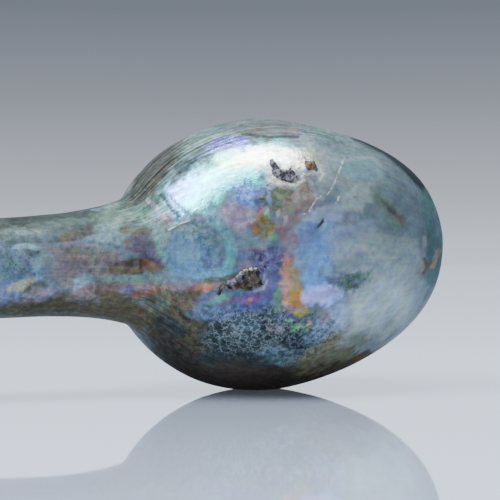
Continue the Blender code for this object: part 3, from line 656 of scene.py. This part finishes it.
def awayFromPath(across, high, path):  # distance to the nearest place on a path
    nearest = numpy.full(len(across), 1e9)
    for (x0, y0), (x1, y1) in zip(path, path[1:]):
        run = numpy.array((x1 - x0, y1 - y0))
        share = ((across - x0) * run[0] + (high - y0) * run[1]) / (run @ run)
        share = numpy.clip(share, 0, 1)
        nearest = numpy.minimum(nearest, numpy.hypot(across - x0 - share * run[0], high - y0 - share * run[1]))
    return nearest


def readShape(data):  # the points in millimetres, their normals, and how squarely each faces the photograph
    points = numpy.empty(len(data.vertices) * 3)
    normals = numpy.empty(len(data.vertices) * 3)
    data.vertices.foreach_get("co", points)
    data.vertices.foreach_get("normal", normals)
    points = points.reshape(-1, 3) / mm
    normals = normals.reshape(-1, 3)
    sight = numpy.array(studio["eye"]) / mm - points
    return points, normals, (sight * normals).sum(axis=1) / numpy.linalg.norm(sight, axis=1)


def paintBottle(data):  # the film's colours, and where it shines, is mottled, streaked and cracked
    points, _, facing = readShape(data)
    across, high = picturePlace(points)
    count = len(points)
    outer = numpy.empty(count, dtype=numpy.float32)
    data.attributes["outerSkin"].data.foreach_get("value", outer)
    coarse = [wander(points, laying["coarseSize"], seed) for seed in (1, 2)]
    fine = [wander(points, laying["fineSize"], seed) for seed in (3, 4)]
    broad = [wander(points, size, seed) for size, seed in zip(laying["broadSizes"], (5, 6))]
    hues = {name: numpy.array(linear(colour)) for name, colour in tints.items()}
    colours = numpy.tile(hues["tealGrey"], (count, 1))
    sheen = numpy.full(count, film["metallic"])
    mottle = numpy.full(count, laying["mottle"]) + laying["mottleSpread"] * broad[1]

    def lay(share, tint):
        colours[:] += share[:, None] * (hues[tint] - colours)
        sheen[:] += share * (shiny.get(tint, film["metallic"]) - sheen)

    def patchShare(acrossMiddle, highMiddle, long, short, turn):  # 1 inside a patch, 0 past its ragged edge
        small = max(long, short) < laying["small"]
        reach = min(laying["fray"] * short, laying["mostFray"])
        u = across - acrossMiddle + reach * (coarse[0] + laying["fineFray"] * fine[0])
        v = high - highMiddle + reach * (coarse[1] + laying["fineFray"] * fine[1])
        cosine, sine = math.cos(math.radians(turn)), math.sin(math.radians(turn))
        away = numpy.hypot((u * cosine + v * sine) / long, (v * cosine - u * sine) / short)
        edge = laying["smallEdge"] if small else laying["largeEdge"]
        kept = numpy.clip(laying["kept"] + laying["worn"] * fine[1], 0, 1) if small else 1
        return (1 - smoothShare(away, 1 - edge / 2, 1 + edge / 2)) * kept

    for which, sign, start, end, strength, tint in laying["firstCoats"]:
        lay(smoothShare(sign * broad[which], start, end) * strength, tint)
    low = smoothShare(-points[:, 2], *(-height for height in laying["footHeight"]))
    lay(low * (points[:, 0] > laying["footFrom"]) * laying["footShare"], "bottle")

    seen = smoothShare(facing, *laying["turnedAway"]) * outer
    farStreak = laying["farStreak"] * smoothShare(-points[:, 0], *laying["farStreakFrom"])
    streak = laying["streak"] + farStreak * smoothShare(points[:, 0], *laying["farStreakTo"]) * (1 - seen)

    dice = numpy.random.default_rng(unseen["seed"])
    hidden = numpy.flatnonzero(facing < 0)
    ragged = 1 + unseen["ragged"][0] * coarse[0] + unseen["ragged"][1] * fine[0]
    sizeRange = unseen["largest"] - unseen["smallest"]
    lowest, highest = unseen["stretch"]
    weakest, strongest = unseen["strength"]
    for middle in points[dice.choice(hidden, unseen["count"])]:
        size = unseen["smallest"] + sizeRange * dice.random() ** unseen["sizeBias"]
        zone = "neck" if middle[0] < unseen["neckEnds"] else "foot" if middle[2] < unseen["footTop"] else "bulb"
        tint = unseen[zone][dice.integers(len(unseen[zone]))]
        stretch = numpy.array((lowest + (highest - lowest) * dice.random(), 1, 1))
        away = numpy.linalg.norm((points - middle) * stretch, axis=1) / size * ragged
        strength = weakest + (strongest - weakest) * dice.random()
        lay((1 - smoothShare(away, *unseen["edge"])) * strength * (1 - seen) * outer, tint)

    lay((1 - outer) * laying["insideShare"], "brownGrey")
    for *form, tint, strength in patches.values():
        lay(patchShare(*form) * strength * seen, tint)
    for path, width, tint, strength in strokes.values():
        reach = min(laying["strokeFray"] * width, laying["mostStrokeFray"])
        away = awayFromPath(across + reach * coarse[0], high + reach * coarse[1], path) / width
        lay((1 - smoothShare(away, *laying["strokeEdge"])) * strength * seen, tint)

    clouds = (wander(points, laying["cloudSize"], 7), coarse[1], fine[0])
    cloud = 1 + sum(share * noises for share, noises in zip(laying["clouds"], clouds))
    slants = laying["slants"]
    turned = (across + high) / slants["length"], (high - across) / slants["width"], numpy.zeros(count)
    cloud += slants["share"] * wander(numpy.column_stack(turned), 1, 12) * patchShare(*slants["form"]) * seen
    colours *= cloud[:, None] * (1 + fine[1][:, None] * numpy.array(laying["cloudTint"]))
    for *form, strength in mottled.values():
        mottle += patchShare(*form) * seen * (strength - mottle)
    low = smoothShare(-points[:, 2], *(-height for height in laying["farMottleHeight"]))
    mottle += low * (1 - seen) * (laying["farMottle"] - mottle)
    for *form, strength in streaked.values():
        streak += patchShare(*form) * seen * (strength - streak)
    crackAway = numpy.full(count, float(laying["noCrack"]))
    frayed = [place + laying["crackFray"] * noises for place, noises in zip((across, high), fine)]
    for path in cracks.values():
        crackAway = numpy.minimum(crackAway, awayFromPath(*frayed, path))
    crackAway = numpy.where(facing > 0, crackAway, laying["noCrack"])

    hue = data.attributes.new("filmColour", "FLOAT_COLOR", "POINT")
    opaque = numpy.column_stack((colours, numpy.ones(count)))
    hue.data.foreach_set("color", opaque.astype(numpy.float32).ravel())
    mottle = numpy.clip(mottle, 0, 1)
    for name, values in dict(crackAway=crackAway, sheen=sheen, mottle=mottle, streak=streak).items():
        attribute = data.attributes.new(name, "FLOAT", "POINT")
        attribute.data.foreach_set("value", values.astype(numpy.float32))


def reliefBottle(data):  # the blown surface's unevenness and the marks on it, kept inside the solid's box
    points, normals, facing = readShape(data)
    raised = unevenness["height"] * wander(points, unevenness["size"], 11)
    across, high = picturePlace(points)
    for path, width, depth in dents.values():
        away = awayFromPath(across, high, path) / width
        raised -= depth * numpy.exp(-away * away) * smoothShare(facing, *unevenness["markedSide"])
    raised *= smoothShare(points[:, 2], *unevenness["fadeHeight"])
    low, high = (numpy.array(corner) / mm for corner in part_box("glass_vessel"))
    points = numpy.clip(points + normals * raised[:, None], low, high)
    data.vertices.foreach_set("co", (points * mm).ravel())
    data.update()


# What the shader adds to the film, sizes in millimetres
film = dict(
    metallic=0.4, edgeTint="#454a46", specular=0.3, relief=0.07,
    noises=dict(  # size, detail, roughness, and how far it is moved from the others
        tint=(1.5, 3, 0.6, 1), grain=(0.45, 3, 0.6, 2), patchwork=(1.1, 5, 0.7, 3), flake=(0.5, 4, 0.65, 4),
        vein=(1.5, 4, 0.6, 5), crumble=(0.7, 3, 0.6, 7), breath=(1.6, 3, 0.6, 8), blown=(0.8, 4, 0.6, 9),
    ),
    shifts=dict(tint=0.7, grain=0.6),  # how strongly these two change the colour
    axisHeight=26.6, streakRadius=26, streakWidth=0.9, streakLength=9, streakDetail=4, streakRoughness=0.7,
    streakDistortion=0.3,
    sums=dict(  # worked out in this order
        flaked=("MULTIPLY_ADD", "mottle", 0.16, "flake"), veinSide=("SUBTRACT", "vein", 0.5),
        veinAway=("ABSOLUTE", "veinSide"), raggedCrack=("MULTIPLY_ADD", "crumble", 0.35, "crackAway"),
    ),
    steps=dict(  # each from a value between two limits to the two that it becomes there
        uneven=("mottle", 0, 0.4, 0.75, 1), streakShade=("streaks", 0.36, 0.66, 0.3, 1.75),
        mottleShade=("patchwork", 0.36, 0.66, 0.3, 1.8), bare=("flaked", 0.7, 0.76, 0, 1),
        laced=("mottle", 0.45, 0.95, 0, 1), lace=("veinAway", 0, 0.04, 0.38, 0),
        cracked=("raggedCrack", 0.24, 0.38, 0.7, 0), gloss=("sheen", 0.05, 0.6, 0.68, 0.25),
        glossShift=("breath", 0.3, 0.7, -0.06, 0.1), sheenKept=("bare", 0, 1, 1, 0.2),
    ),
    bareColour="#30353a", laceColour="#b4c6c8", crackColour="#cdd2c8",
)


def weatheredGlass():
    # Blown glass under a thin weathered film: pearly and softly metallic, mottled where the film has flaked
    material, tree = newMaterial("weatheredBlownGlass")
    place = addNode(tree, "ShaderNodeTexCoord").outputs["Object"]
    colour = addNode(tree, "ShaderNodeAttribute", attribute_name="filmColour").outputs["Color"]
    ready = {}
    for name in ("mottle", "sheen", "streak", "crackAway"):
        ready[name] = addNode(tree, "ShaderNodeAttribute", attribute_name=name).outputs["Fac"]
    shifts = []
    for name, (size, detail, roughness, seed) in film["noises"].items():
        shift = (seed, seed * 0.7, seed * 0.3)
        moved = addNode(tree, "ShaderNodeVectorMath", {0: place, 1: shift}, operation="ADD")
        grains = addNode(tree, "ShaderNodeTexNoise", {
            "Vector": moved.outputs[0], "Scale": 1 / (size * mm), "Detail": detail, "Roughness": roughness,
        })
        ready[name] = grains.outputs["Fac"]
        if name in film["shifts"]:
            strength = film["shifts"][name]
            shifts.append(addNode(tree, "ShaderNodeVectorMath", {
                0: grains.outputs["Color"], 1: (strength,) * 3, 2: (1 - strength / 2,) * 3,
            }, operation="MULTIPLY_ADD").outputs[0])

    # Streaks along the bottle: noise that is drawn out along its axis and wrapped round it
    middle = (0, 0, -film["axisHeight"] * mm)
    level = addNode(tree, "ShaderNodeVectorMath", {0: place, 1: middle}, operation="ADD").outputs[0]
    section = addNode(tree, "ShaderNodeVectorMath", {0: level, 1: (0, 1, 1)}, operation="MULTIPLY").outputs[0]
    direction = addNode(tree, "ShaderNodeVectorMath", {0: section}, operation="NORMALIZE").outputs[0]
    wrapped = addNode(tree, "ShaderNodeVectorMath", {
        0: direction, 1: (film["streakRadius"] / film["streakWidth"],) * 3,
    }, operation="MULTIPLY").outputs[0]
    drawnOut = addNode(tree, "ShaderNodeVectorMath", {
        0: place, 1: (1 / (film["streakLength"] * mm), 0, 0), 2: wrapped,
    }, operation="MULTIPLY_ADD").outputs[0]
    ready["streaks"] = addNode(tree, "ShaderNodeTexNoise", {
        "Vector": drawnOut, "Scale": 1, "Detail": film["streakDetail"], "Roughness": film["streakRoughness"],
        "Distortion": film["streakDistortion"],
    }).outputs["Fac"]

    for name, (kind, *values) in film["sums"].items():
        inputs = {at: ready.get(value, value) for at, value in enumerate(values)}
        ready[name] = addNode(tree, "ShaderNodeMath", inputs, operation=kind).outputs[0]
    for name, (source, low, high, start, end) in film["steps"].items():
        ready[name] = addNode(tree, "ShaderNodeMapRange", {
            "Value": ready[source], "From Min": low, "From Max": high, "To Min": start, "To Max": end,
        }, interpolation_type="SMOOTHSTEP").outputs["Result"]
    laced = addNode(tree, "ShaderNodeMath", {0: ready["laced"], 1: ready["lace"]}, operation="MULTIPLY")
    layers = [(ready["uneven"], tint, "MULTIPLY") for tint in shifts] + [
        (ready["streak"], ready["streakShade"], "MULTIPLY"),
        (ready["mottle"], ready["mottleShade"], "MULTIPLY"),
        (ready["bare"], (*linear(film["bareColour"]), 1), "MIX"),
        (laced.outputs[0], (*linear(film["laceColour"]), 1), "MIX"),
        (ready["cracked"], (*linear(film["crackColour"]), 1), "MIX"),
    ]
    for share, over, kind in layers:
        colour = addNode(tree, "ShaderNodeMix", {
            "Factor": share, 6: colour, 7: over,
        }, data_type="RGBA", blend_type=kind).outputs[2]

    roughness = addNode(tree, "ShaderNodeMath", {0: ready["gloss"], 1: ready["glossShift"]}, operation="ADD")
    metallic = addNode(tree, "ShaderNodeMath", {0: ready["sheen"], 1: ready["sheenKept"]}, operation="MULTIPLY")
    relief = addNode(tree, "ShaderNodeBump", {
        "Height": ready["blown"], "Strength": 1.0, "Distance": film["relief"] * mm,
    })
    shader = addNode(tree, "ShaderNodeBsdfPrincipled", {
        "Base Color": colour, "Metallic": metallic.outputs[0], "Roughness": roughness.outputs[0],
        "Normal": relief.outputs[0],
        "Specular Tint": (*linear(film["edgeTint"]), 1), "Specular IOR Level": film["specular"],
    })
    addNode(tree, "ShaderNodeOutputMaterial", {"Surface": shader.outputs[0]})
    return material


def insidePath(across, high, outline):  # how far inside a closed outline a place lies, below 0 outside it
    closed = outline + outline[:1]
    within = False
    for (x0, y0), (x1, y1) in zip(closed, closed[1:]):
        if (y0 > high) != (y1 > high) and across < x0 + (high - y0) * (x1 - x0) / (y1 - y0):
            within = not within
    away = float(awayFromPath(numpy.array([across]), numpy.array([high]), closed)[0])
    return away if within else -away


def crustMesh(outline, thickness, body, blotches, surface):  # a crumbly flake that sits in the bottle's surface
    low = Vector((min(across for across, high in outline), min(high for across, high in outline)))
    top = Vector((max(across for across, high in outline), max(high for across, high in outline)))
    size = top - low + Vector((crust["margin"],) * 2)
    mesh = bmesh.new()
    tint = mesh.verts.layers.float_color.new("crustColour")
    columns, rows = (round(side / crust["spacing"]) for side in size)
    bmesh.ops.create_grid(mesh, x_segments=columns, y_segments=rows, size=0.5)
    for vert in mesh.verts:
        vert.co.x = (low.x + top.x) / 2 + vert.co.x * size.x
        vert.co.y = (low.y + top.y) / 2 + vert.co.y * size.y

    def depth(place):
        ragged = crust["raggedness"] * noise.noise(place * crust["raggedRate"])
        return insidePath(place.x, place.y, outline) + ragged

    bmesh.ops.delete(mesh, geom=[vert for vert in mesh.verts if depth(vert.co) < 0], context="VERTS")
    raised = bmesh.ops.extrude_face_region(mesh, geom=mesh.faces[:] + mesh.edges[:], use_keep_orig=True)
    above = {item for item in raised["geom"] if isinstance(item, bmesh.types.BMVert)}
    hues = {name: Vector(linear(colour)) for name, colour in crust["colours"].items()}
    _, right, up = pictureAxes()
    eye = Vector(studio["eye"]) / mm
    for vert in mesh.verts:
        place = vert.co.copy()
        colour = hues[body].copy()
        for across, high, half, name in blotches:
            ragged = noise.noise(place * crust["blotchRate"] + Vector((half, 3, 0)))
            away = math.hypot(place.x - across, place.y - high) / (half * (1 + crust["blotchWander"] * ragged))
            colour = colour.lerp(hues[name], 1 - float(smoothShare(away, *crust["blotchEdge"])))
        vert[tint] = (*colour, 1)
        target = right * place.x + up * place.y
        hit, normal, _, _ = surface.ray_cast(eye, (target - eye).normalized())
        if vert in above:
            lump = crust["lumpBase"] + crust["lumpShare"] * noise.noise(place / crust["lumpSize"])
            lump += crust["crumbShare"] * noise.noise(place / crust["crumbSize"])
            edge = float(smoothShare(depth(place), 0, crust["edgeWidth"]))
            rise = crust["edgeRise"] + (1 - crust["edgeRise"]) * edge
            vert.co = hit + normal * max(thickness * rise * lump, crust["thinnest"])
        else:
            vert.co = hit - normal * crust["buried"]
    bmesh.ops.recalc_face_normals(mesh, faces=mesh.faces)
    return mesh


def driedEarth():
    # Crusts left by burial: matt, crumbly, brown to purple-black with pale grains
    material, tree = newMaterial("driedEarthCrust")
    place = addNode(tree, "ShaderNodeTexCoord").outputs["Object"]
    colour = addNode(tree, "ShaderNodeAttribute", attribute_name="crustColour").outputs["Color"]
    grain = addNode(tree, "ShaderNodeTexNoise", {
        "Vector": place, "Scale": 1 / (crust["grainSize"] * mm), "Detail": crust["grainDetail"],
        "Roughness": crust["grainRoughness"],
    }).outputs["Fac"]
    low, high = crust["grainLimits"]
    darkest, palest = crust["grainShade"]
    shade = addNode(tree, "ShaderNodeMapRange", {
        "Value": grain, "From Min": low, "From Max": high, "To Min": darkest, "To Max": palest,
    })
    dusted = addNode(tree, "ShaderNodeMix", {
        "Factor": 1.0, 6: colour, 7: shade.outputs["Result"],
    }, data_type="RGBA", blend_type="MULTIPLY")
    relief = addNode(tree, "ShaderNodeBump", {
        "Height": grain, "Strength": crust["grainStrength"], "Distance": crust["grainRelief"] * mm,
    })
    shader = addNode(tree, "ShaderNodeBsdfPrincipled", {
        "Base Color": dusted.outputs[2], "Roughness": crust["roughness"], "Normal": relief.outputs[0],
        "Specular IOR Level": crust["specular"],
    })
    addNode(tree, "ShaderNodeOutputMaterial", {"Surface": shader.outputs[0]})
    return material


mesh = spunBottle()
shapeBottle(mesh)
data = newMesh("iridescentBottle", mesh, weatheredGlass())
reliefBottle(data)
paintBottle(data)
print("film painted:", len(patches), "patches")
vessel = newObject("iridescentBottle", data)
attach(vessel, "root")
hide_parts("glass_vessel")
print("bottle shaped:", len(data.vertices), "points")

faces = [tuple(face.vertices) for face in data.polygons]
surface = BVHTree.FromPolygons([vert.co / mm for vert in data.vertices], faces)
earth = driedEarth()
for name, form in crusts.items():
    flakeData = newMesh(name, crustMesh(surface=surface, **form), earth)
    flake = newObject(name, flakeData)
    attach(flake, "root")
    print("crust set:", name, len(flakeData.polygons), "faces")


def addCamera():
    data = bpy.data.cameras.new("photoView")
    data.lens = studio["lens"]
    data.sensor_width = studio["sensorWidth"]
    data.clip_start = studio["nearest"]
    data.clip_end = studio["furthest"]
    camera = newObject("photoView", data)
    camera.location = studio["eye"]
    camera.rotation_euler = Vector(studio["look"]).to_track_quat("-Z", "Y").to_euler()
    bpy.context.scene.camera = camera


def addSoftbox(name, origin, away, size, power, colour):
    data = bpy.data.lights.new(name, "AREA")
    data.shape = "RECTANGLE"
    data.size, data.size_y = size
    data.energy = power
    data.color = linear(colour)
    azimuth, elevation = (math.radians(angle) for angle in origin)
    flat = math.cos(elevation)
    towards = Vector((math.sin(azimuth) * flat, math.cos(azimuth) * flat, math.sin(elevation)))
    light = newObject(name, data)
    light.location = towards * away + Vector(studio["aim"])
    light.rotation_euler = (-towards).to_track_quat("-Z", "Y").to_euler()


def addFloor():
    mesh = bmesh.new()
    bmesh.ops.create_grid(mesh, x_segments=1, y_segments=1, size=studio["floorSize"] / 2 / mm)
    # Polished white acrylic: a pale sheen that mirrors softly at a low angle
    material, tree = newMaterial("polishedWhiteAcrylic")
    shader = addNode(tree, "ShaderNodeBsdfPrincipled", {
        "Base Color": (*linear(studio["floorColour"]), 1), "Roughness": studio["floorRoughness"],
        "Coat Weight": studio["floorCoat"], "Coat Roughness": studio["floorRoughness"],
        "Emission Color": (*linear(studio["floorGlowColour"]), 1), "Emission Strength": studio["floorGlow"],
    })
    addNode(tree, "ShaderNodeOutputMaterial", {"Surface": shader.outputs[0]})
    floor = newObject("paleFloor", newMesh("paleFloor", mesh, material))


def addSurround():  # what the camera sees behind the bottle, and the soft light that fills the room
    world = bpy.data.worlds.new("surround")
    world.use_nodes = True
    tree = world.node_tree
    tree.nodes.clear()
    place = addNode(tree, "ShaderNodeTexCoord")
    height = addNode(tree, "ShaderNodeSeparateXYZ", {"Vector": place.outputs["Generated"]})
    hues = {}
    for name in ("backdrop", "room", "glow"):
        stops = studio[name]
        lowest, highest = stops[0][0], stops[-1][0]
        share = addNode(tree, "ShaderNodeMapRange", {
            "Value": height.outputs["Z"], "From Min": lowest, "From Max": highest,
        })
        ramp = addNode(tree, "ShaderNodeValToRGB", {"Fac": share.outputs["Result"]})
        elements = ramp.color_ramp.elements
        while len(elements) < len(stops):
            elements.new(0.5)
        for element, (at, colour) in zip(elements, stops):
            element.position = (at - lowest) / (highest - lowest)
            element.color = (*colour, 1)
        hues[name] = ramp.outputs["Color"]
    ahead = Vector((studio["look"][0], studio["look"][1], 0)).normalized()
    facing = addNode(tree, "ShaderNodeVectorMath", {
        0: place.outputs["Generated"], 1: ahead,
    }, operation="DOT_PRODUCT")
    inner, outer = (math.cos(math.radians(angle)) for angle in studio["glowHalfWidth"])
    near = addNode(tree, "ShaderNodeMapRange", {
        "Value": facing.outputs["Value"], "From Min": outer, "From Max": inner,
    })
    lit = addNode(tree, "ShaderNodeMix", {
        "Factor": near.outputs["Result"], 6: hues["room"], 7: hues["glow"],
    }, data_type="RGBA", blend_type="ADD")
    seen = addNode(tree, "ShaderNodeBackground", {"Color": hues["backdrop"]})
    room = addNode(tree, "ShaderNodeBackground", {"Color": lit.outputs[2]})
    ray = addNode(tree, "ShaderNodeLightPath")
    both = addNode(tree, "ShaderNodeMixShader", {
        0: ray.outputs["Is Camera Ray"], 1: room.outputs[0], 2: seen.outputs[0],
    })
    addNode(tree, "ShaderNodeOutputWorld", {"Surface": both.outputs[0]})
    bpy.context.scene.world = world


addCamera()
addFloor()
addSurround()
addSoftbox("highSoftbox", **studio["softbox"])
addSoftbox("frontFill", **studio["fill"])
print("studio set")
